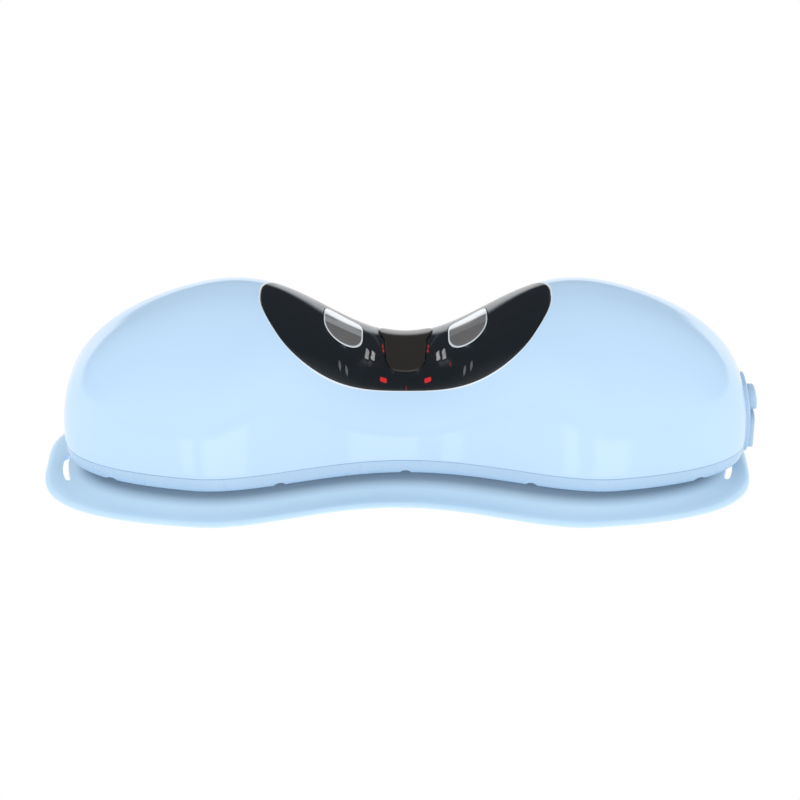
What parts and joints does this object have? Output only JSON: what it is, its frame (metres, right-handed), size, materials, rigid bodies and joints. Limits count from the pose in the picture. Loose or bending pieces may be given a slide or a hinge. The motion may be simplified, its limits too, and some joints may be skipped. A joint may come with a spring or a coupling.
{
  "type": "eye massager mask",
  "caption": "Rigid two-lobed eye massage mask with a soft face skirt, smoked control window over the nose saddle, press keys, side button and hinged port cover.",
  "frame": {"origin": "middle of the whole mask in plan, on the plane the face skirt rests on", "axes": "+X to the temple end with the button and port, -Y to the nose side, +Z out of the front of the mask, away from the face"},
  "size_m": [0.2025, 0.0884, 0.0527],
  "materials": {
    "sky_gloss": "high gloss sky blue",
    "sky_satin": "satin sky blue",
    "sky_silicone": "matte silicone",
    "smoked_window": "smoked, polished",
    "silver_key": "polished",
    "black_plastic": "matte",
    "grey_plastic": "matte",
    "pad_liner": "soft liner",
    "heat_film": "printed film",
    "board_green": "satin",
    "steel": "bright",
    "cell_wrap": "satin wrap",
    "red_lamp": "clear red",
    "clear_tube": "clear"
  },
  "bodies": {
    "mask_body": {"front_shell": "sky_gloss", "rear_frame": "sky_satin", "face_skirt": "sky_silicone", "bridge_window": "smoked_window", "bridge_tray": "black_plastic", "left_switch": "steel", "right_switch": "steel", "power_switch": "steel", "key_board": "board_green", "face_panel": "grey_plastic", "left_air_bag": "clear_tube", "right_air_bag": "clear_tube", "left_heat_film": "heat_film", "right_heat_film": "heat_film", "left_eye_pad": "pad_liner", "right_eye_pad": "pad_liner", "chassis_plate": "grey_plastic", "pump_motor": "steel", "pump_head": "black_plastic", "air_valve": "black_plastic", "pump_hose": "clear_tube", "left_air_hose": "clear_tube", "right_air_hose": "clear_tube", "battery": "cell_wrap", "main_board": "board_green", "left_speaker": "black_plastic", "right_speaker": "black_plastic", "left_shaker_motor": "steel", "right_shaker_motor": "steel", "side_bezel": "sky_satin", "side_switch": "steel", "usb_port": "steel", "frame_screw_1": "steel", "frame_screw_2": "steel", "frame_screw_3": "steel", "frame_screw_4": "steel", "lamp_1": "red_lamp", "lamp_2": "red_lamp", "lamp_3": "red_lamp", "lamp_4": "red_lamp", "lamp_5": "red_lamp", "lamp_6": "red_lamp", "lamp_7": "red_lamp", "lamp_8": "red_lamp", "window_pin_1": "steel", "window_pin_2": "steel", "window_pin_3": "steel", "window_pin_4": "steel"},
    "power_key": {"power_key": "smoked_window"},
    "left_key": {"left_key": "silver_key"},
    "right_key": {"right_key": "silver_key"},
    "side_button": {"side_button": "sky_satin"},
    "port_cover": {"port_cover": "sky_satin"},
    "left_shaker_weight": {"left_shaker_weight": "steel"},
    "right_shaker_weight": {"right_shaker_weight": "steel"},
    "pump_crank": {"pump_crank": "steel"}
  },
  "joints": [
    {"name": "power_key_press", "type": "slide", "parent": "mask_body", "child": "power_key", "axis": [0, 0, -1], "range_m": [0, 0.0007], "stiffness_N_per_m": 700},
    {"name": "left_key_press", "type": "slide", "parent": "mask_body", "child": "left_key", "axis": [0, 0, -1], "range_m": [0, 0.0007], "stiffness_N_per_m": 700},
    {"name": "right_key_press", "type": "slide", "parent": "mask_body", "child": "right_key", "axis": [0, 0, -1], "range_m": [0, 0.0007], "stiffness_N_per_m": 700},
    {"name": "side_button_press", "type": "slide", "parent": "mask_body", "child": "side_button", "axis": [-1, 0, 0], "range_m": [0, 0.0008], "stiffness_N_per_m": 700},
    {"name": "port_cover_open", "type": "hinge", "parent": "mask_body", "child": "port_cover", "pos_m": [0.09945, 0.007, 0.0127], "axis": [0, 0, 1], "range_deg": [0, 110]},
    {"name": "left_shaker_spin", "type": "hinge", "parent": "mask_body", "child": "left_shaker_weight", "pos_m": [-0.07815, 0, 0.0261], "axis": [0, 1, 0], "continuous": true},
    {"name": "right_shaker_spin", "type": "hinge", "parent": "mask_body", "child": "right_shaker_weight", "pos_m": [0.08085, 0, 0.0261], "axis": [0, 1, 0], "continuous": true},
    {"name": "pump_crank_spin", "type": "hinge", "parent": "mask_body", "child": "pump_crank", "pos_m": [-0.03215, 0.012, 0.0293], "axis": [1, 0, 0], "continuous": true}
  ]
}
